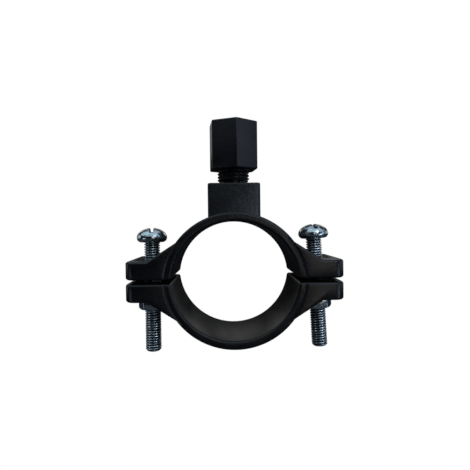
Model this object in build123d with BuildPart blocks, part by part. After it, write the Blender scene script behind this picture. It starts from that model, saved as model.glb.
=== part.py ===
from build123d import *
import math
import os

# Drain saddle clamp for a waste pipe, in millimetres.
# The pipe runs along Y through the origin, +Z points out of the port,
# and the two halves meet in the plane Z = 0.

# Pipe seat: each half is a little less than half a circle, so that it bites
pipe_diameter = 38.1
seat_shortfall = 1.3
ring_wall = 2.6
saddle_depth = 26.0
parting_gap = 1.2
seat_end_radius = 0.8
rim_chamfer = 0.45

# Ears, measured out from the ring, with triangular ribs that run up to it
screw_from_ring = 4.8
ear_end_margin = 6.1
ear_thickness = 5.4
ear_corner_radius = 3.0
rib_foot_before_screw = 0.5
rib_bite = 1.44
outer_rib_width = 2.6
guide_rib_width = 2.0

# Groove on both faces that sets each ear off from the ring
groove_inset = 0.65
groove_steep_side = 0.2
groove_gentle_side = 0.55
groove_depth = 0.45
groove_sweep = 41.0

# Port on the upper half
boss_width = 16.1
boss_rise = 9.05
boss_corner_radius = 1.0
boss_edge_chamfer = 0.3
neck_diameter = 8.8
neck_height = 0.9
port_thread_diameter = 10.2
port_thread_length = 12.7
port_lead_in = 0.5
tube_bore = 6.5
tube_stop_depth = 5.9
outlet_bore = 4.8

# Compression nut and the sleeve inside it
nut_across_flats = 14.3
nut_height = 15.1
nut_stand_off = 4.7
nut_turned = 37.0
nut_edge_radius = 0.4
nut_end_chamfer = 0.25
nut_thread_clearance = 0.08
nut_thread_run_out = 1.2
nut_lead_in = 0.5
cone_angle = 30.0
cone_rim_wall = 0.75
sleeve_wall = 0.88
sleeve_land = 2.4
sleeve_tip_wall = 0.25
sleeve_bore_clearance = 0.02
sleeve_clearance = 0.15
tighten_travel = 0.8

# Clamp screws and their nuts
screw_diameter = 5.0
screw_length = 35.0
screw_hole_diameter = 6.2
screw_tip_chamfer = 0.5
head_diameter = 9.6
head_height = 4.6
head_rim_height = 1.7
head_rim_band = 0.4
head_underside_diameter = 6.8
slot_width = 1.2
slot_depth = 1.4
head_channel_clearance = 0.4
left_head_gap = 5.3
right_head_gap = 6.0
left_lean = 0.0
right_lean = 3.0
left_slot_turned = 0.0
right_slot_turned = 50.0
hex_nut_across_flats = 8.0
hex_nut_height = 4.0
hex_nut_chamfer_angle = 30.0
hex_nut_clearance = 0.05
nut_channel_clearance = 0.2

# Worked out from the sizes above
seat_radius = pipe_diameter / 2
ring_radius = seat_radius + ring_wall
half_depth = saddle_depth / 2
ear_bottom = parting_gap / 2
ear_top = ear_bottom + ear_thickness
screw_x = ring_radius + screw_from_ring
ear_reach = screw_x + ear_end_margin
rib_foot = screw_x - rib_foot_before_screw
boss_top = ring_radius - seat_shortfall + boss_rise
neck_top = boss_top + neck_height
port_top = neck_top + port_thread_length
tube_stop = boss_top - tube_stop_depth
nut_bottom = boss_top + nut_stand_off
groove_radius = ring_radius - groove_inset
screw_radius = screw_diameter / 2
head_radius = head_diameter / 2
thread_radius = port_thread_diameter / 2
tube_radius = tube_bore / 2
head_channel = head_radius + head_channel_clearance
nut_channel = hex_nut_across_flats / 2 + nut_channel_clearance
far = 2 * (ear_reach + boss_top)
seat_axis = Axis((0, 0, -seat_shortfall), (0, 1, 0))


def is_upright(edge):
    """True for a straight edge along Z, where an ear's rounded corner begins."""
    return edge.geom_type == GeomType.LINE and abs(edge.tangent_at(0.5).Z) > 0.999


def rib_head():
    """Where a rib's sloping edge, drawn from its foot on the ear, touches a circle inside the ring."""
    touch_radius = ring_radius - rib_bite
    rise = ear_top + seat_shortfall
    turn = math.atan2(rise, rib_foot) + math.acos(touch_radius / math.hypot(rib_foot, rise))
    return touch_radius * math.cos(turn), touch_radius * math.sin(turn) - seat_shortfall


def half_saddle(channel):
    """Half ring with two ears above the parting plane, and a channel between ribs on each ear."""
    outer_rib = half_depth - outer_rib_width / 2
    guide_rib = channel + guide_rib_width / 2
    head_x, head_z = rib_head()
    with BuildPart() as half:
        with BuildSketch(Plane.XZ):
            with Locations((0, -seat_shortfall)):
                Circle(ring_radius)
            with Locations((0, ear_bottom)):
                Rectangle(far, far, align=(Align.CENTER, Align.MAX), mode=Mode.SUBTRACT)
        extrude(amount=half_depth, both=True)
        with BuildSketch(Plane.XY.offset(ear_bottom)):
            Rectangle(2 * ear_reach, saddle_depth)
            fillet(vertices(), ear_corner_radius)
        extrude(amount=ear_thickness)
        for place, width in [(outer_rib, outer_rib_width), (guide_rib, guide_rib_width)]:
            with BuildSketch(Plane.XZ.offset(place), Plane.XZ.offset(-place)):
                with BuildLine():
                    Polyline(
                        (rib_foot, ear_top),
                        (head_x, head_z),
                        (head_x, ear_bottom),
                        (rib_foot, ear_bottom),
                        close=True,
                    )
                make_face()
                mirror(about=Plane.YZ)
            extrude(amount=width / 2, both=True)
        with BuildSketch(Plane.XZ):
            with Locations((0, -seat_shortfall)):
                Circle(seat_radius)
        extrude(amount=saddle_depth, both=True, mode=Mode.SUBTRACT)
        seat_ends = half.edges().filter_by(Axis.Y).group_by(Axis.Z)[0]
        fillet(seat_ends.filter_by_position(Axis.X, -ring_radius, ring_radius), seat_end_radius)
        faces = half.faces().filter_by(Axis.Y).group_by(Axis.Y)
        rims = ShapeList(faces[0] + faces[-1]).edges()
        chamfer(rims.filter_by(lambda edge: not is_upright(edge)), rim_chamfer)
        with BuildSketch(Plane.XY.offset(-seat_shortfall)):
            with BuildLine():
                Polyline(
                    (groove_radius - groove_steep_side, half_depth),
                    (groove_radius, half_depth - groove_depth),
                    (groove_radius + groove_gentle_side, half_depth),
                    (groove_radius, half_depth + groove_depth),
                    close=True,
                )
            make_face()
            mirror(about=Plane.XZ)
        revolve(axis=seat_axis, revolution_arc=-groove_sweep, mode=Mode.SUBTRACT)
        mirror(about=Plane.YZ, mode=Mode.INTERSECT)
        with BuildSketch(Plane.XY):
            with Locations((-screw_x, 0), (screw_x, 0)):
                Circle(screw_hole_diameter / 2)
        extrude(amount=far, mode=Mode.SUBTRACT)
    return half.part


def cone_run(outer, inner):
    """Length along the axis of a cone between two radii."""
    return (outer - inner) / math.tan(math.radians(cone_angle))


cone_rim_radius = thread_radius - cone_rim_wall

with BuildPart() as lower_saddle:
    add(mirror(half_saddle(nut_channel), about=Plane.XY, mode=Mode.PRIVATE))

with BuildPart() as upper_saddle:
    add(half_saddle(head_channel))
    with BuildSketch(Plane.XY.offset(boss_top)):
        Rectangle(boss_width, boss_width)
        fillet(vertices(), boss_corner_radius)
    extrude(amount=-boss_top + seat_radius / 2)
    chamfer(upper_saddle.faces().sort_by(Axis.Z)[-1].edges(), boss_edge_chamfer)
    with BuildSketch(Plane.XY.offset(boss_top)):
        Circle(neck_diameter / 2)
    extrude(amount=neck_height)
    with BuildSketch(Plane.XY.offset(neck_top)):
        Circle(thread_radius)
    extrude(amount=port_thread_length)
    chamfer(upper_saddle.faces().sort_by(Axis.Z)[-1].edges(), port_lead_in)
    with BuildSketch(Plane.XZ):
        with Locations((0, -seat_shortfall)):
            Circle(seat_radius)
    extrude(amount=half_depth, both=True, mode=Mode.SUBTRACT)
    with BuildSketch(Plane.XZ):
        with BuildLine():
            Polyline(
                (0, 0),
                (outlet_bore / 2, 0),
                (outlet_bore / 2, tube_stop),
                (tube_radius, tube_stop),
                (tube_radius, port_top - cone_run(cone_rim_radius, tube_radius)),
                (cone_rim_radius, port_top),
                (0, port_top),
                close=True,
            )
        make_face()
    revolve(axis=Axis.Z, mode=Mode.SUBTRACT)

# The sleeve stands where the nut still has its tightening travel to go
sleeve_bore_radius = tube_radius + sleeve_bore_clearance
sleeve_tip_radius = sleeve_bore_radius + sleeve_tip_wall
sleeve_radius = sleeve_bore_radius + sleeve_wall
sleeve_cone = cone_run(sleeve_radius, sleeve_tip_radius)
shoulder_seat = port_top - cone_run(cone_rim_radius, sleeve_radius)
sleeve_bottom = shoulder_seat - sleeve_cone + tighten_travel + sleeve_clearance
sleeve_top = sleeve_bottom + sleeve_land + 2 * sleeve_cone

with BuildPart() as compression_sleeve:
    with BuildSketch(Plane.XZ):
        with BuildLine():
            Polyline(
                (sleeve_bore_radius, sleeve_bottom),
                (sleeve_tip_radius, sleeve_bottom),
                (sleeve_radius, sleeve_bottom + sleeve_cone),
                (sleeve_radius, sleeve_top - sleeve_cone),
                (sleeve_tip_radius, sleeve_top),
                (sleeve_bore_radius, sleeve_top),
                close=True,
            )
        make_face()
    revolve(axis=Axis.Z)

# Inside of the nut: thread bore, a chamber and a cone for the sleeve, and the tube hole
nut_thread_radius = thread_radius + nut_thread_clearance
nut_top = nut_bottom + nut_height
chamber_bottom = port_top + nut_thread_run_out
chamber_top = sleeve_top - sleeve_cone + sleeve_clearance - cone_run(cone_rim_radius, sleeve_radius)

with BuildPart() as compression_nut:
    with BuildSketch(Plane.XY.offset(nut_bottom)):
        RegularPolygon(nut_across_flats / 2, side_count=6, major_radius=False, rotation=nut_turned)
    extrude(amount=nut_height)
    fillet(compression_nut.edges().filter_by(Axis.Z), nut_edge_radius)
    chamfer(compression_nut.edges().filter_by(Axis.Z, reverse=True), nut_end_chamfer)
    with BuildSketch(Plane.XZ):
        with BuildLine():
            Polyline(
                (0, nut_bottom),
                (nut_thread_radius + nut_lead_in, nut_bottom),
                (nut_thread_radius, nut_bottom + nut_lead_in),
                (nut_thread_radius, chamber_bottom),
                (cone_rim_radius, chamber_bottom),
                (cone_rim_radius, chamber_top),
                (tube_radius, chamber_top + cone_run(cone_rim_radius, tube_radius)),
                (tube_radius, nut_top),
                (0, nut_top),
                close=True,
            )
        make_face()
    revolve(axis=Axis.Z, mode=Mode.SUBTRACT)


def screw_plane(side, lean):
    """Plane square to a clamp screw, whose top leans towards the port by a few degrees."""
    tilt = math.radians(lean)
    return Plane(
        origin=(side * screw_x, 0, 0),
        x_dir=(math.cos(tilt), 0, side * math.sin(tilt)),
        z_dir=(-side * math.sin(tilt), 0, math.cos(tilt)),
    )


def profile_plane(square):
    """Plane through a screw's axis, with the axis as its vertical."""
    return Plane(origin=square.origin, x_dir=square.x_dir, z_dir=-square.y_dir)


def clamp_screw(square, head_gap, slot_turned):
    """Slotted screw with a domed head that stands off the upper ear by a gap."""
    head_seat = ear_top + head_gap
    tip = head_seat - screw_length
    rim = head_seat + head_rim_height
    top = head_seat + head_height
    dome_rise = top - rim
    dome_radius = (head_radius**2 + dome_rise**2) / (2 * dome_rise)
    dome_sweep = math.degrees(math.asin(head_radius / dome_radius))
    with BuildPart() as screw:
        with BuildSketch(profile_plane(square)):
            with BuildLine():
                Polyline(
                    (0, top),
                    (0, tip),
                    (screw_radius - screw_tip_chamfer, tip),
                    (screw_radius, tip + screw_tip_chamfer),
                    (screw_radius, head_seat),
                    (head_underside_diameter / 2, head_seat),
                    (head_radius, rim - head_rim_band),
                    (head_radius, rim),
                )
                CenterArc((0, top - dome_radius), dome_radius, 90 - dome_sweep, dome_sweep)
            make_face()
        revolve(axis=Axis(square.origin, square.z_dir))
        with BuildSketch(square.offset(top)):
            Rectangle(slot_width, head_diameter, rotation=slot_turned)
        extrude(amount=-slot_depth, mode=Mode.SUBTRACT)
    return screw.part


def hex_nut(square):
    """Nut up against the underside of a lower ear, a flat facing along the pipe."""
    flat_radius = hex_nut_across_flats / 2
    corner_radius = flat_radius / math.cos(math.radians(30))
    bore_radius = screw_radius + hex_nut_clearance
    lifted_edge = corner_radius * abs(square.x_dir.Z)
    seat = -(ear_top + hex_nut_clearance + lifted_edge) / square.z_dir.Z
    end = seat - hex_nut_height
    bevel = (corner_radius - flat_radius) * math.tan(math.radians(hex_nut_chamfer_angle))
    with BuildPart() as nut:
        with BuildSketch(square.offset(seat)):
            RegularPolygon(flat_radius, side_count=6, major_radius=False)
        extrude(amount=-hex_nut_height)
        with BuildSketch(profile_plane(square)):
            with BuildLine():
                Polyline(
                    (bore_radius, seat),
                    (flat_radius, seat),
                    (corner_radius, seat - bevel),
                    (corner_radius, end + bevel),
                    (flat_radius, end),
                    (bore_radius, end),
                    close=True,
                )
            make_face()
        revolve(axis=Axis(square.origin, square.z_dir), mode=Mode.INTERSECT)
    return nut.part


left_square = screw_plane(-1, left_lean)
right_square = screw_plane(1, right_lean)

with BuildPart() as clamp_screw_left:
    add(clamp_screw(left_square, left_head_gap, left_slot_turned))

with BuildPart() as clamp_screw_right:
    add(clamp_screw(right_square, right_head_gap, right_slot_turned))

with BuildPart() as hex_nut_left:
    add(hex_nut(left_square))

with BuildPart() as hex_nut_right:
    add(hex_nut(right_square))

pieces = {
    "lower_saddle": lower_saddle,
    "upper_saddle": upper_saddle,
    "clamp_screw_left": clamp_screw_left,
    "clamp_screw_right": clamp_screw_right,
    "hex_nut_left": hex_nut_left,
    "hex_nut_right": hex_nut_right,
    "compression_sleeve": compression_sleeve,
    "compression_nut": compression_nut,
}
os.makedirs("parts", exist_ok=True)
for name, piece in pieces.items():
    piece.part.label = name
    export_step(piece.part, f"parts/{name}.step")
    print(name, round(piece.part.volume, 1), "mm3")
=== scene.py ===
import math

import bmesh
import bpy
from mathutils import Matrix, Vector


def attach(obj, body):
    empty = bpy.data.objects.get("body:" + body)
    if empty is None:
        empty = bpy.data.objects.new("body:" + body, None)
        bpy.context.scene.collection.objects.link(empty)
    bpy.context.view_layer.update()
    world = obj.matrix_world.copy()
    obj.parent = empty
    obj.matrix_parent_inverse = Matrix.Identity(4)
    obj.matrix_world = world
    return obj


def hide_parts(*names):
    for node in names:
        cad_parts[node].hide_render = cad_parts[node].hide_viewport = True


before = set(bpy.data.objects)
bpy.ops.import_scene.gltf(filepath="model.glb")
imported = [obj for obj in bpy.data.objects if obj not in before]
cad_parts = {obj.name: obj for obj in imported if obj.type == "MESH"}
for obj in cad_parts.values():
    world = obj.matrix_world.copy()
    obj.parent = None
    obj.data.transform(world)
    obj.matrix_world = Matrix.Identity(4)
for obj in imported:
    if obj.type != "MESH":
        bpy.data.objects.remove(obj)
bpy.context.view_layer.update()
print("frame loaded:", sorted(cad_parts))


def mm(length):
    return length * 0.001


def linearColour(hexText):
    # sRGB hex to the linear colour that the shaders work in
    channels = [int(hexText[i : i + 2], 16) / 255 for i in (1, 3, 5)]
    return [c / 12.92 if c <= 0.04045 else ((c + 0.055) / 1.055) ** 2.4 for c in channels] + [1.0]


def addNode(tree, kind, settings=None, sockets=None):
    # sockets maps a name or a number to a value, or to another node's output
    node = tree.nodes.new(kind)
    for name, value in (settings or {}).items():
        setattr(node, name, value)
    for key, value in (sockets or {}).items():
        if isinstance(value, bpy.types.NodeSocket):
            tree.links.new(value, node.inputs[key])
        else:
            node.inputs[key].default_value = value
    return node


def startMaterial(name):
    material = bpy.data.materials.new(name)
    material.use_nodes = True
    tree = material.node_tree
    tree.nodes.clear()
    return material, tree


# materials


plastic = {
    "base": "#0b0b0d",
    "flowMark": "#15161a",
    "roughness": (0.27, 0.38),
    "softEdge": mm(0.3),  # moulded edges are never quite sharp
    "ripple": mm(1.3),  # slight waviness of a moulded face
    "rippleHeight": mm(0.04),
    "grain": mm(0.22),  # spark-eroded mould texture
    "grainHeight": mm(0.012),
    "grainStrength": 0.35,
    "flowWidth": mm(7),
    "flowStretch": (1.0, 0.35, 1.6),  # marks run along the depth of the saddles
    "ior": 1.49,
}


def mouldedPolypropylene():
    # Black polypropylene, injection moulded: a satin skin with a fine eroded grain and faint flow marks
    material, tree = startMaterial("blackPolypropyleneMoulded")
    place = addNode(tree, "ShaderNodeTexCoord").outputs["Object"]
    stretched = addNode(
        tree, "ShaderNodeMapping", None, {"Vector": place, "Scale": plastic["flowStretch"]}
    )
    flow = addNode(
        tree, "ShaderNodeTexNoise", None,
        {"Vector": stretched.outputs[0], "Scale": 1 / plastic["flowWidth"], "Detail": 4.0,
         "Roughness": 0.55, "Distortion": 0.6},
    )
    colour = addNode(
        tree, "ShaderNodeMix", {"data_type": "RGBA"},
        {"Factor": flow.outputs["Fac"], 6: linearColour(plastic["base"]),
         7: linearColour(plastic["flowMark"])},
    )
    polish = addNode(
        tree, "ShaderNodeMapRange", None,
        {"Value": flow.outputs["Fac"], "From Min": 0.3, "From Max": 0.7,
         "To Min": plastic["roughness"][0], "To Max": plastic["roughness"][1]},
    )
    grain = addNode(
        tree, "ShaderNodeTexNoise", None,
        {"Vector": place, "Scale": 1 / plastic["grain"], "Detail": 2.0, "Roughness": 0.6},
    )
    ripple = addNode(
        tree, "ShaderNodeTexNoise", None,
        {"Vector": place, "Scale": 1 / plastic["ripple"], "Detail": 1.0, "Roughness": 0.5},
    )
    softened = addNode(tree, "ShaderNodeBevel", {"samples": 6}, {"Radius": plastic["softEdge"]})
    peel = addNode(
        tree, "ShaderNodeBump", None,
        {"Height": ripple.outputs["Fac"], "Distance": plastic["rippleHeight"], "Strength": 1.0,
         "Normal": softened.outputs[0]},
    )
    bump = addNode(
        tree, "ShaderNodeBump", None,
        {"Height": grain.outputs["Fac"], "Distance": plastic["grainHeight"],
         "Strength": plastic["grainStrength"], "Normal": peel.outputs[0]},
    )
    shader = addNode(
        tree, "ShaderNodeBsdfPrincipled", None,
        {"Base Color": colour.outputs[2], "Roughness": polish.outputs[0], "Normal": bump.outputs[0],
         "IOR": plastic["ior"], "Specular IOR Level": 0.5},
    )
    addNode(tree, "ShaderNodeOutputMaterial", None, {"Surface": shader.outputs[0]})
    return material


zinc = {
    "bright": "#e6ecee",
    "passivated": "#b6ced8",  # bluish film of the clear chromate
    "roughness": (0.12, 0.28),
    "paintedGrooveShade": "#14181b",  # painted shade at the bottom of the thread, where the roots stay dark
    "grooveRoughness": 0.4,
    "grooveRange": (0.15, 0.75),  # depths, as shares of the thread's, over which the painted shade darkens the colour and the roughness rises
    "patch": mm(2.2),
    "dent": mm(1.0),  # tumbling marks from the plating barrel
    "dentHeight": mm(0.14),
    "grain": mm(0.12),
    "grainHeight": mm(0.006),
    "grainStrength": 0.4,
}


def zincPlatedSteel():
    # Steel, cold headed, thread rolled and zinc plated: a bluish mirror broken by fine barrel marks
    material, tree = startMaterial("zincPlatedSteelBarrelPlated")
    place = addNode(tree, "ShaderNodeTexCoord").outputs["Object"]
    film = addNode(
        tree, "ShaderNodeTexNoise", None,
        {"Vector": place, "Scale": 1 / zinc["patch"], "Detail": 5.0, "Roughness": 0.6,
         "Distortion": 0.8},
    )
    tint = addNode(
        tree, "ShaderNodeMapRange", None,
        {"Value": film.outputs["Fac"], "From Min": 0.38, "From Max": 0.66, "To Min": 0.0, "To Max": 1.0},
    )
    colour = addNode(
        tree, "ShaderNodeMix", {"data_type": "RGBA"},
        {"Factor": tint.outputs[0], 6: linearColour(zinc["bright"]),
         7: linearColour(zinc["passivated"])},
    )
    polish = addNode(
        tree, "ShaderNodeMapRange", None,
        {"Value": film.outputs["Fac"], "From Min": 0.3, "From Max": 0.7,
         "To Min": zinc["roughness"][0], "To Max": zinc["roughness"][1]},
    )
    dents = addNode(
        tree, "ShaderNodeTexNoise", None,
        {"Vector": place, "Scale": 1 / zinc["dent"], "Detail": 1.0, "Roughness": 0.4},
    )
    grain = addNode(
        tree, "ShaderNodeTexNoise", None,
        {"Vector": place, "Scale": 1 / zinc["grain"], "Detail": 3.0, "Roughness": 0.5},
    )
    tumbled = addNode(
        tree, "ShaderNodeBump", None,
        {"Height": dents.outputs["Fac"], "Distance": zinc["dentHeight"], "Strength": 1.0},
    )
    bump = addNode(
        tree, "ShaderNodeBump", None,
        {"Height": grain.outputs["Fac"], "Distance": zinc["grainHeight"],
         "Strength": zinc["grainStrength"], "Normal": tumbled.outputs[0]},
    )
    depth = addNode(tree, "ShaderNodeAttribute", {"attribute_name": "grooveDepth"})
    paintedGrooveShade = addNode(
        tree, "ShaderNodeMapRange", None,
        {"Value": depth.outputs["Fac"], "From Min": zinc["grooveRange"][0],
         "From Max": zinc["grooveRange"][1], "To Min": 0.0, "To Max": 1.0},
    )
    # painted shade: the thread roots and the slot floor are mixed towards a near-black colour
    shaded = addNode(
        tree, "ShaderNodeMix", {"data_type": "RGBA"},
        {"Factor": paintedGrooveShade.outputs[0], 6: colour.outputs[2], 7: linearColour(zinc["paintedGrooveShade"])},
    )
    dulled = addNode(
        tree, "ShaderNodeMapRange", None,
        {"Value": paintedGrooveShade.outputs[0], "To Min": polish.outputs[0], "To Max": zinc["grooveRoughness"]},
    )
    shader = addNode(
        tree, "ShaderNodeBsdfPrincipled", None,
        {"Base Color": shaded.outputs[2], "Metallic": 1.0, "Roughness": dulled.outputs[0],
         "Normal": bump.outputs[0]},
    )
    addNode(tree, "ShaderNodeOutputMaterial", None, {"Surface": shader.outputs[0]})
    return material


acetal = {
    "clouded": "#e9e8e2",
    "clear": "#f4f3ee",
    "cloudWidth": mm(3),
    "roughness": 0.35,
    "ior": 1.48,
    "glow": 0.1,  # a thin wall lets some light into it
}


def naturalAcetal():
    # Unpigmented acetal, moulded: milky white, a little waxy
    material, tree = startMaterial("naturalAcetalMoulded")
    place = addNode(tree, "ShaderNodeTexCoord").outputs["Object"]
    cloud = addNode(
        tree, "ShaderNodeTexNoise", None, {"Vector": place, "Scale": 1 / acetal["cloudWidth"], "Detail": 2.0}
    )
    colour = addNode(
        tree, "ShaderNodeMix", {"data_type": "RGBA"},
        {"Factor": cloud.outputs["Fac"], 6: linearColour(acetal["clouded"]),
         7: linearColour(acetal["clear"])},
    )
    shader = addNode(
        tree, "ShaderNodeBsdfPrincipled", None,
        {"Base Color": colour.outputs[2], "Roughness": acetal["roughness"], "IOR": acetal["ior"],
         "Subsurface Weight": acetal["glow"]},
    )
    addNode(tree, "ShaderNodeOutputMaterial", None, {"Surface": shader.outputs[0]})
    return material


blackPlastic = mouldedPolypropylene()
zincSteel = zincPlatedSteel()
whiteAcetal = naturalAcetal()
print("materials ready")


# threads, one tree for all


def buildThreadTree():
    # A strip of rows is wound up along the helix, so every crest is one clean edge
    tree = bpy.data.node_groups.new("threadAlongHelix", "GeometryNodeTree")
    sizes = {
        "Crest Radius": 2.5, "Root Radius": 2.1, "Pitch": 0.8, "Length": 20.0, "Turned": 0.0,
        "Low End Radius": 2.0, "High End Radius": 2.1, "End Slope": 1.0, "Crest Width": 0.2,
    }
    counts = {"Columns": 48, "Rows per Turn": 10}
    for kind, defaults in (("NodeSocketFloat", sizes), ("NodeSocketInt", counts)):
        for name, default in defaults.items():
            tree.interface.new_socket(name, in_out="INPUT", socket_type=kind).default_value = default
    for name in ("Inside", "Closed Ends"):
        tree.interface.new_socket(name, in_out="INPUT", socket_type="NodeSocketBool")
    tree.interface.new_socket("Material", in_out="INPUT", socket_type="NodeSocketMaterial")
    tree.interface.new_socket("Geometry", in_out="OUTPUT", socket_type="NodeSocketGeometry")
    given = addNode(tree, "NodeGroupInput").outputs

    def calc(operation, *values):
        node = addNode(tree, "ShaderNodeMath", {"operation": operation}, dict(enumerate(values)))
        return node.outputs[0]

    side = calc("MULTIPLY_ADD", given["Inside"], -2.0, 1.0)  # 1 outside, -1 in a bore
    turns = calc("ADD", calc("CEIL", calc("DIVIDE", given["Length"], given["Pitch"])), 2.0)
    rows = calc("MULTIPLY_ADD", turns, given["Rows per Turn"], 1.0)
    strip = addNode(
        tree, "GeometryNodeMeshGrid", None,
        {"Size X": 1.0, "Size Y": 1.0, "Vertices X": calc("ADD", given["Columns"], 1.0),
         "Vertices Y": rows},
    )
    place = addNode(tree, "GeometryNodeInputPosition")
    spot = addNode(tree, "ShaderNodeSeparateXYZ", None, {0: place.outputs[0]})
    around = calc("ADD", spot.outputs[0], 0.5)
    wound = calc("MULTIPLY", calc("ADD", spot.outputs[1], 0.5), turns)
    start = calc("ADD", calc("ADD", wound, around), calc("SUBTRACT", given["Turned"], 2.0))
    climbed = calc("MULTIPLY", start, given["Pitch"])
    height = calc("MINIMUM", calc("MAXIMUM", climbed, 0.0), given["Length"])
    # a triangle with a sharp root and its crest cut flat; the crest's width is a share of the pitch
    hairline = 0.01  # keeps a row of the strip right on the root
    inPitch = calc("FRACT", calc("ADD", wound, hairline / 10))
    fromRoot = calc("ABSOLUTE", calc("MULTIPLY_ADD", inPitch, 2.0, -1.0))
    crestEdge = calc("SUBTRACT", 1 - hairline, given["Crest Width"])
    flank = addNode(
        tree, "ShaderNodeMapRange", None, {"Value": fromRoot, "From Min": hairline, "From Max": crestEdge}
    ).outputs[0]
    # grooveDepth, 1 at the root, is the mask for the painted shade in the thread roots
    marked = addNode(
        tree, "GeometryNodeStoreNamedAttribute", {"data_type": "FLOAT", "domain": "POINT"},
        {"Geometry": strip.outputs[0], "Name": "grooveDepth", "Value": calc("SUBTRACT", 1.0, flank)},
    )
    threadDepth = calc("SUBTRACT", given["Crest Radius"], given["Root Radius"])
    threadRadius = calc("MULTIPLY_ADD", flank, threadDepth, given["Root Radius"])
    slope = calc("MULTIPLY", given["End Slope"], side)
    fromTop = calc("SUBTRACT", given["Length"], height)
    lowEnd = calc("MULTIPLY_ADD", height, slope, given["Low End Radius"])
    highEnd = calc("MULTIPLY_ADD", fromTop, slope, given["High End Radius"])
    radius = calc("MULTIPLY", side, calc(
        "MINIMUM", calc("MULTIPLY", side, threadRadius),
        calc("MINIMUM", calc("MULTIPLY", side, lowEnd), calc("MULTIPLY", side, highEnd)),
    ))
    angle = calc("MULTIPLY", around, math.tau)
    across = calc("MULTIPLY", radius, calc("COSINE", angle))
    along = calc("MULTIPLY", radius, calc("SINE", angle))
    placed = addNode(tree, "ShaderNodeCombineXYZ", None, {0: across, 1: along, 2: height})
    thread = addNode(
        tree, "GeometryNodeSetPosition", None,
        {"Geometry": marked.outputs[0], "Position": placed.outputs[0]},
    )
    caps = []
    for end, lift in (("Low End Radius", 0.0), ("High End Radius", given["Length"])):
        disc = addNode(
            tree, "GeometryNodeMeshCircle", {"fill_type": "NGON"},
            {"Vertices": given["Columns"], "Radius": given[end]},
        )
        lifted = addNode(tree, "ShaderNodeCombineXYZ", None, {2: lift})
        moved = addNode(
            tree, "GeometryNodeSetPosition", None,
            {"Geometry": disc.outputs[0], "Offset": lifted.outputs[0]},
        )
        caps.append(moved.outputs[0])
    lowCap = addNode(tree, "GeometryNodeFlipFaces", None, {"Mesh": caps[0]})
    bothCaps = addNode(tree, "GeometryNodeJoinGeometry")
    for cap in (lowCap.outputs[0], caps[1]):
        tree.links.new(cap, bothCaps.inputs[0])
    chosen = addNode(
        tree, "GeometryNodeSwitch", {"input_type": "GEOMETRY"},
        {"Switch": given["Closed Ends"], "True": bothCaps.outputs[0]},
    )
    whole = addNode(tree, "GeometryNodeJoinGeometry")
    for part in (thread.outputs[0], chosen.outputs[0]):
        tree.links.new(part, whole.inputs[0])
    welded = addNode(
        tree, "GeometryNodeMergeByDistance", None, {"Geometry": whole.outputs[0], "Distance": mm(0.002)}
    )
    turnedOut = addNode(
        tree, "GeometryNodeFlipFaces", None, {"Mesh": welded.outputs[0], "Selection": given["Inside"]}
    )
    smooth = addNode(tree, "GeometryNodeSetShadeSmooth", None, {0: turnedOut.outputs[0]})
    real = addNode(tree, "GeometryNodeRealizeInstances", None, {0: smooth.outputs[0]})
    finished = addNode(
        tree, "GeometryNodeSetMaterial", None, {0: real.outputs[0], "Material": given["Material"]}
    )
    addNode(tree, "NodeGroupOutput", None, {0: finished.outputs[0]})
    return tree


threadTree = buildThreadTree()


def windThread(name, material, **values):
    # Runs the tree with sizes in metres and returns a plain mesh with no modifier left
    holder = bpy.data.objects.new(name, bpy.data.meshes.new(name))
    bpy.context.scene.collection.objects.link(holder)
    modifier = holder.modifiers.new("thread", "NODES")
    modifier.node_group = threadTree
    wanted = {**values, "Material": material}
    for item in threadTree.interface.items_tree:
        if item.in_out == "INPUT" and item.name in wanted:
            modifier[item.identifier] = wanted[item.name]
    shape = holder.evaluated_get(bpy.context.evaluated_depsgraph_get())
    mesh = bpy.data.meshes.new_from_object(shape)
    bpy.data.objects.remove(holder)
    return mesh


# shared mesh work


def addPiece(name, mesh, material, body, slot, *nodes):
    mesh.materials.clear()
    mesh.materials.append(material)
    piece = bpy.data.objects.new(name, mesh)
    bpy.context.scene.collection.objects.link(piece)
    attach(piece, body)
    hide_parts(*nodes)
    return piece


def lastingMesh(name, bm, bevel=None):
    # Writes the bmesh out, with its edges rounded by a bevel (width, segments, angle) where one is given
    mesh = bpy.data.meshes.new(name)
    bm.to_mesh(mesh)
    bm.free()
    if bevel:
        width, segments, angle = bevel
        holder = bpy.data.objects.new(name, mesh)
        bpy.context.scene.collection.objects.link(holder)
        rounding = holder.modifiers.new("edges", "BEVEL")
        rounding.width = width
        rounding.segments = segments
        rounding.limit_method = "ANGLE"
        rounding.angle_limit = math.radians(angle)
        rounding.use_clamp_overlap = False
        shape = holder.evaluated_get(bpy.context.evaluated_depsgraph_get())
        mesh = bpy.data.meshes.new_from_object(shape)
        bpy.data.objects.remove(holder)
    mesh.name = name
    return mesh


def shadeByAngle(mesh, angle):
    # Smooth faces, and sharp edges only where the surface really turns
    bm = bmesh.new()
    bm.from_mesh(mesh)
    for face in bm.faces:
        face.smooth = True
    for edge in bm.edges:
        edge.smooth = edge.is_manifold and edge.calc_face_angle(0) < math.radians(angle)
    bm.to_mesh(mesh)
    bm.free()


def mergedCopy(node):
    # A CAD node's mesh as one closed skin of flat faces
    flatWithin = math.radians(0.6)
    bm = bmesh.new()
    bm.from_mesh(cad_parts[node].data)
    bmesh.ops.remove_doubles(bm, verts=bm.verts, dist=mm(0.001))
    bmesh.ops.dissolve_limit(
        bm, angle_limit=flatWithin, use_dissolve_boundaries=False, verts=bm.verts, edges=bm.edges,
        delimit=set(),
    )
    return bm


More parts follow.
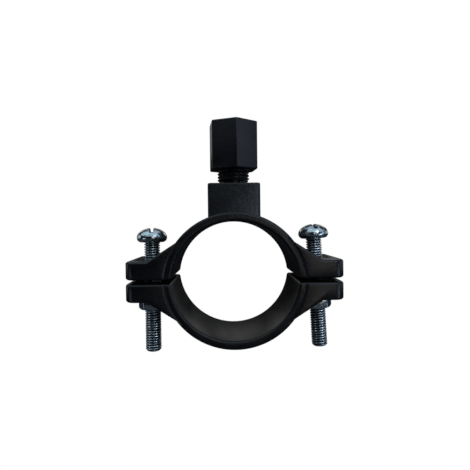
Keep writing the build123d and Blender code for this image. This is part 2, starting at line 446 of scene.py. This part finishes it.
def swapForThread(bm, thread, isOldFace, name):
    # Takes a plain thread cylinder out of a skin and sews the wound thread into the gap
    old = [face for face in bm.faces if isOldFace(face)]
    bmesh.ops.delete(bm, geom=old, context="FACES")
    bm.from_mesh(thread)
    open_ = [edge for edge in bm.edges if edge.is_boundary]
    loops = []
    while open_:
        loop, grow = {open_[0]}, [open_[0]]
        while grow:
            edge = grow.pop()
            for vert in edge.verts:
                for other in vert.link_edges:
                    if other.is_boundary and other not in loop:
                        loop.add(other)
                        grow.append(other)
        open_ = [edge for edge in open_ if edge not in loop]
        loops.append((sum(edge.verts[0].co.z for edge in loop) / len(loop), len(loops), loop))
    loops.sort()
    for low, high in zip(loops[0::2], loops[1::2]):
        bmesh.ops.bridge_loops(bm, edges=list(low[2] | high[2]))
    print(name, "sewn at", [round(level * 1000, 2) for level, _, _ in loops])


def ringRadius(vert):
    return math.hypot(vert.co.x, vert.co.y)


# saddles


saddle = {
    "upperRounding": (mm(0.16), 2, 32),  # width, segments, and the angle from which an edge is rounded
    "lowerRounding": (mm(0.16), 2, 20),
    "portThread": {"crest": 5.1, "root": 4.6, "pitch": 1.0, "low": 30.3, "high": 43.0},
    "mouthRadius": 4.34,  # of the port's cone, whose faces stay
    "columns": 64,
    "smoothBelow": 35,
}

port = saddle["portThread"]
upper = mergedCopy("upper_saddle")
portThread = windThread(
    "portThread", blackPlastic,
    **{"Crest Radius": mm(port["crest"]), "Root Radius": mm(port["root"]), "Pitch": mm(port["pitch"]),
       "Length": mm(port["high"] - port["low"]), "Low End Radius": mm(port["root"]),
       "High End Radius": mm(port["root"]), "Columns": saddle["columns"]},
)
portThread.transform(Matrix.Translation((0, 0, mm(port["low"]))))
swapForThread(
    upper, portThread,
    lambda face: all(
        v.co.z > mm(port["low"] - 0.01) and ringRadius(v) > mm(saddle["mouthRadius"]) for v in face.verts
    ),
    "port thread",
)
upperMesh = lastingMesh("upperSaddleMoulding", upper, saddle["upperRounding"])
shadeByAngle(upperMesh, saddle["smoothBelow"])
addPiece("upperSaddleMoulding", upperMesh, blackPlastic, "upper_half", "black_plastic", "upper_saddle")

lowerMesh = lastingMesh("lowerSaddleMoulding", mergedCopy("lower_saddle"), saddle["lowerRounding"])
shadeByAngle(lowerMesh, saddle["smoothBelow"])
addPiece("lowerSaddleMoulding", lowerMesh, blackPlastic, "lower_half", "black_plastic", "lower_saddle")
print("saddles dressed")


# compression nut


compressionNut = {
    "rounding": (mm(0.12), 2, 32),
    "thread": {"crest": 4.72, "root": 5.18, "low": 34.62, "high": 44.18},
    "smoothBelow": 35,
}

bore = compressionNut["thread"]
nut = mergedCopy("compression_nut")
boreThread = windThread(
    "boreThread", blackPlastic,
    **{"Crest Radius": mm(bore["crest"]), "Root Radius": mm(bore["root"]), "Pitch": mm(port["pitch"]),
       "Length": mm(bore["high"] - bore["low"]), "Low End Radius": mm(bore["root"]),
       "High End Radius": mm(bore["root"]), "Columns": saddle["columns"], "Inside": True,
       "Turned": ((port["low"] - bore["low"]) / port["pitch"] + 0.5) % 1},
)
boreThread.transform(Matrix.Translation((0, 0, mm(bore["low"]))))
swapForThread(
    nut, boreThread,
    lambda face: all(abs(ringRadius(v) - mm(bore["root"])) < mm(0.03) for v in face.verts)
    and abs(face.normal.z) < 0.5,
    "nut thread",
)
nutMesh = lastingMesh("compressionNutMoulding", nut, compressionNut["rounding"])
shadeByAngle(nutMesh, compressionNut["smoothBelow"])
addPiece("compressionNutMoulding", nutMesh, blackPlastic, "nut", "black_plastic", "compression_nut")

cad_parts["compression_sleeve"].data.materials.clear()
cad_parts["compression_sleeve"].data.materials.append(whiteAcetal)
print("compression nut dressed")


# clamp screws and hexagon nuts


clampScrew = {
    "length": 35.0,
    "crest": 2.5,
    "root": 2.01,
    "pitch": 0.8,
    "crestWidth": 0.38,
    "tip": 2.0,
    "headRadius": 4.8,
    "underside": 3.4,
    "rimHeight": 1.5,
    "headHeight": 4.6,
    "bearing": 2.9,  # flat ring under the head
    "rimSteps": 9,
    "domeSteps": 20,
    "slotWidth": 1.2,
    "slotDepth": 1.4,
    "slotShade": 0.15,  # height above the slot's floor where the painted shade ends
    "burr": (mm(0.09), 2, 40),
    "smoothBelow": 40,
    "ringCount": 72,
    "intoHead": 0.3,
    "spacing": 52.9,
    "left": {"side": -1, "lean": 0.0, "headSeat": 11.3, "slotTurned": 6.5, "threadTurned": 0.35},
    "right": {"side": 1, "lean": 3.0, "headSeat": 12.0, "slotTurned": 3.5, "threadTurned": 0.8},
}

hexagonNut = {
    "rounding": (mm(0.08), 2, 24),
    "smoothBelow": 35,
}


def buildHead(slotTurned):
    # Domed head turned from a profile, then slotted, with the slot's burr knocked off
    size = clampScrew
    profile = [(0.0, 0.0), (size["bearing"], 0.0)]
    for i in range(size["rimSteps"] + 1):  # under the rim
        turn = math.radians(90 * i / size["rimSteps"])
        profile.append((
            size["underside"] + (size["headRadius"] - size["underside"]) * math.sin(turn),
            size["rimHeight"] * (1 - math.cos(turn)),
        ))
    for i in range(1, size["domeSteps"] + 1):  # dome
        turn = math.radians(90 * i / size["domeSteps"])
        profile.append((
            size["headRadius"] * math.cos(turn),
            size["rimHeight"] + (size["headHeight"] - size["rimHeight"]) * math.sin(turn),
        ))
    bm = bmesh.new()
    chain = [bm.verts.new((mm(r), 0, mm(z))) for r, z in profile]
    edges = [bm.edges.new(pair) for pair in zip(chain, chain[1:])]
    bmesh.ops.spin(
        bm, geom=chain + edges, cent=(0, 0, 0), axis=(0, 0, 1), angle=math.tau, steps=size["ringCount"],
        use_merge=True,
    )
    bmesh.ops.remove_doubles(bm, verts=bm.verts, dist=mm(0.002))
    bmesh.ops.recalc_face_normals(bm, faces=bm.faces)
    head = bpy.data.objects.new("head", lastingMesh("head", bm))
    cutter = bmesh.new()
    depth = size["slotDepth"] + 1
    bmesh.ops.create_cube(
        cutter, size=1,
        matrix=Matrix.Translation((0, 0, mm(size["headHeight"] - size["slotDepth"] + depth / 2)))
        @ Matrix.Rotation(math.radians(slotTurned), 4, "Z")
        @ Matrix.Diagonal((mm(size["slotWidth"]), mm(3 * size["headRadius"]), mm(depth), 1)),
    )
    blade = bpy.data.objects.new("blade", lastingMesh("blade", cutter))
    for thing in (head, blade):
        bpy.context.scene.collection.objects.link(thing)
    cut = head.modifiers.new("slot", "BOOLEAN")
    cut.object = blade
    cut.operation = "DIFFERENCE"
    cut.solver = "EXACT"
    slotted = bpy.data.meshes.new_from_object(head.evaluated_get(bpy.context.evaluated_depsgraph_get()))
    for thing in (head, blade):
        bpy.data.objects.remove(thing)
    bm = bmesh.new()
    bm.from_mesh(slotted)
    mesh = lastingMesh("slottedHead", bm, size["burr"])
    shadeByAngle(mesh, size["smoothBelow"])
    # painted shade: the slot's floor and the foot of its walls are painted as dark as a thread root
    paintedGrooveShade = mesh.attributes.new("grooveDepth", "FLOAT", "POINT")
    slotFloor = size["headHeight"] - size["slotDepth"]
    turn = math.radians(slotTurned)
    slack = 0.02
    for vert in mesh.vertices:
        x, y, z = (c * 1000 for c in vert.co)
        inSlot = abs(x * math.cos(turn) + y * math.sin(turn)) < size["slotWidth"] / 2 + slack
        if inSlot and slotFloor - slack < z < slotFloor + size["slotShade"]:
            paintedGrooveShade.data[vert.index].value = 1.0
    return mesh


def buildScrew(name, screw):
    size = clampScrew
    shank = windThread(
        "shank", zincSteel,
        **{"Crest Radius": mm(size["crest"]), "Root Radius": mm(size["root"]), "Pitch": mm(size["pitch"]),
           "Length": mm(size["length"] + size["intoHead"]), "Low End Radius": mm(size["tip"]),
           "High End Radius": mm(size["root"]), "Crest Width": size["crestWidth"], "Closed Ends": True,
           "Turned": screw["threadTurned"]},
    )
    shank.transform(Matrix.Translation((0, 0, mm(screw["headSeat"] - size["length"]))))
    head = buildHead(screw["slotTurned"])
    head.transform(Matrix.Translation((0, 0, mm(screw["headSeat"]))))
    bm = bmesh.new()
    bm.from_mesh(shank)
    bm.from_mesh(head)
    mesh = bpy.data.meshes.new(name)
    bm.to_mesh(mesh)
    bm.free()
    mesh.transform(
        Matrix.Translation((screw["side"] * mm(size["spacing"] / 2), 0, 0))
        @ Matrix.Rotation(math.radians(-screw["side"] * screw["lean"]), 4, "Y")
    )
    return mesh


for name in ("left", "right"):
    addPiece(
        f"clampScrew_{name}", buildScrew(f"clampScrew_{name}", clampScrew[name]), zincSteel,
        f"screw_{name}", "zinc_plated_steel", f"clamp_screw_{name}",
    )
    hexMesh = lastingMesh(f"hexNut_{name}", mergedCopy(f"hex_nut_{name}"), hexagonNut["rounding"])
    shadeByAngle(hexMesh, hexagonNut["smoothBelow"])
    addPiece(f"hexNut_{name}", hexMesh, zincSteel, "lower_half", "zinc_plated_steel", f"hex_nut_{name}")
print("screws and nuts dressed")


# floor, light and camera


studio = {
    "floorHeight": mm(-120),
    "floorSide": 30.0,
    "floorGlow": 1.0,
    "floorCard": "#5c5e62",
    "roomLight": 0.006,
    "roomColour": "#dfe8f2",
    "lightAim": (0, 0, mm(10)),
    "softboxes": {  # azimuth, elevation, distance, size, brightness, colour
        "key": (24, 25, 0.45, (0.16, 0.16), 2.4, "#d6e6fb"),
        "window": (35, 38, 0.45, (0.34, 0.06), 1.1, "#dcebfb"),
        "front": (15, 0, 0.45, (0.17, 0.14), 0.95, "#fff3ee"),
        "left": (-45, 20, 0.45, (0.14, 0.14), 0.25, "#e6e2ff"),
        "right": (70, 11, 0.45, (0.15, 0.26), 0.9, "#d3e4ff"),
        "lowRight": (52, -15, 0.33, (0.06, 0.14), 3.4, "#cfe3ff"),
        "lowLeft": (-58, -14, 0.33, (0.08, 0.09), 1.2, "#dcebff"),
        "overhead": (0, 60, 0.45, (0.60, 0.42), 0.75, "#d5e9f2"),
        "zenith": (180, 76, 0.45, (0.46, 0.34), 0.6, "#cfe0f6"),
        "highLeft": (-85, 45, 0.45, (0.30, 0.30), 0.75, "#d5e9f2"),
        "highRight": (80, 42, 0.45, (0.26, 0.26), 0.5, "#cfe0f6"),
        "sideRight": (104, 6, 0.45, (0.20, 0.20), 0.7, "#e4ecf8"),
        "sideLeft": (-104, 6, 0.45, (0.20, 0.20), 0.7, "#e4ecf8"),
        "backRight": (152, 22, 0.45, (0.16, 0.16), 0.72, "#ffffff"),
        "back": (180, 22, 0.45, (0.16, 0.16), 0.36, "#ffffff"),
        "backLeft": (-152, 22, 0.45, (0.16, 0.16), 0.6, "#ffffff"),
        "rimRight": (140, 3, 0.45, (0.14, 0.14), 0.75, "#ffffff"),
        "rimLeft": (-140, 3, 0.45, (0.14, 0.14), 0.32, "#ffffff"),
    },
    "cameraPlace": (mm(-2.65), mm(-129.7), mm(16.55)),
    "yaw": 1.31,
    "pitch": 1.44,
    "roll": 0.65,
    "focalPixels": 400.6,
    "framePixels": 470,
    "sensorWidth": 36,
    "nearestSeen": mm(5),
}


def makeFloor():
    bm = bmesh.new()
    bmesh.ops.create_grid(bm, x_segments=1, y_segments=1, size=studio["floorSide"] / 2)
    floor = bpy.data.objects.new("studioFloor", lastingMesh("studioFloor", bm))
    floor.location.z = studio["floorHeight"]
    material, tree = startMaterial("paperSweep")
    # an overexposed white sweep to the eye, but a grey card to the clamp, which was lit from the side
    seen = addNode(tree, "ShaderNodeLightPath").outputs["Is Camera Ray"]
    card = addNode(tree, "ShaderNodeBsdfDiffuse", None, {"Color": linearColour(studio["floorCard"])})
    glow = addNode(tree, "ShaderNodeEmission", None, {"Strength": studio["floorGlow"]})
    both = addNode(tree, "ShaderNodeMixShader", None, {0: seen, 1: card.outputs[0], 2: glow.outputs[0]})
    addNode(tree, "ShaderNodeOutputMaterial", None, {"Surface": both.outputs[0]})
    floor.data.materials.append(material)
    bpy.context.scene.collection.objects.link(floor)


def addSoftbox(name, azimuth, elevation, distance, size, brightness, colour):
    # azimuth 0 is in front, 90 on the right; a mirror would show the brightness, with 1 as white paper
    lamp = bpy.data.lights.new(name, "AREA")
    lamp.shape = "RECTANGLE"
    lamp.size, lamp.size_y = size
    lamp.energy = brightness * math.pi * size[0] * size[1]
    lamp.color = linearColour(colour)[:3]
    softbox = bpy.data.objects.new(name, lamp)
    swing = Matrix.Rotation(math.radians(azimuth), 4, "Z")
    lift = Matrix.Rotation(math.radians(-elevation), 4, "X")
    away = swing @ lift @ Vector((0, -distance, 0))
    softbox.location = Vector(studio["lightAim"]) + away
    softbox.rotation_euler = (-away).to_track_quat("-Z", "Y").to_euler()
    softbox.visible_camera = False
    bpy.context.scene.collection.objects.link(softbox)


def makeLight():
    world = bpy.data.worlds.new("paleStudio")
    world.use_nodes = True
    tree = world.node_tree
    tree.nodes.clear()
    seen = addNode(tree, "ShaderNodeLightPath").outputs["Is Camera Ray"]
    white = addNode(
        tree, "ShaderNodeBackground", None, {"Color": linearColour("#ffffff"), "Strength": 1.0}
    )
    dim = addNode(
        tree, "ShaderNodeBackground", None,
        {"Color": linearColour(studio["roomColour"]), "Strength": studio["roomLight"]},
    )
    both = addNode(tree, "ShaderNodeMixShader", None, {0: seen, 1: dim.outputs[0], 2: white.outputs[0]})
    addNode(tree, "ShaderNodeOutputWorld", None, {"Surface": both.outputs[0]})
    bpy.context.scene.world = world
    for name, setting in studio["softboxes"].items():
        addSoftbox(name, *setting)


def makeCamera():
    cameraData = bpy.data.cameras.new("camera")
    cameraData.sensor_width = studio["sensorWidth"]
    cameraData.lens = studio["focalPixels"] / studio["framePixels"] * cameraData.sensor_width
    cameraData.clip_start = studio["nearestSeen"]
    camera = bpy.data.objects.new("camera", cameraData)
    turn = (
        Matrix.Rotation(math.radians(-studio["yaw"]), 4, "Z")
        @ Matrix.Rotation(math.radians(90 - studio["pitch"]), 4, "X")
        @ Matrix.Rotation(math.radians(-studio["roll"]), 4, "Z")
    )
    camera.matrix_world = Matrix.Translation(studio["cameraPlace"]) @ turn
    bpy.context.scene.collection.objects.link(camera)
    bpy.context.scene.camera = camera


makeFloor()
makeLight()
makeCamera()
bpy.context.scene.view_settings.view_transform = "Standard"
print("studio ready")

bpy.context.view_layer.update()
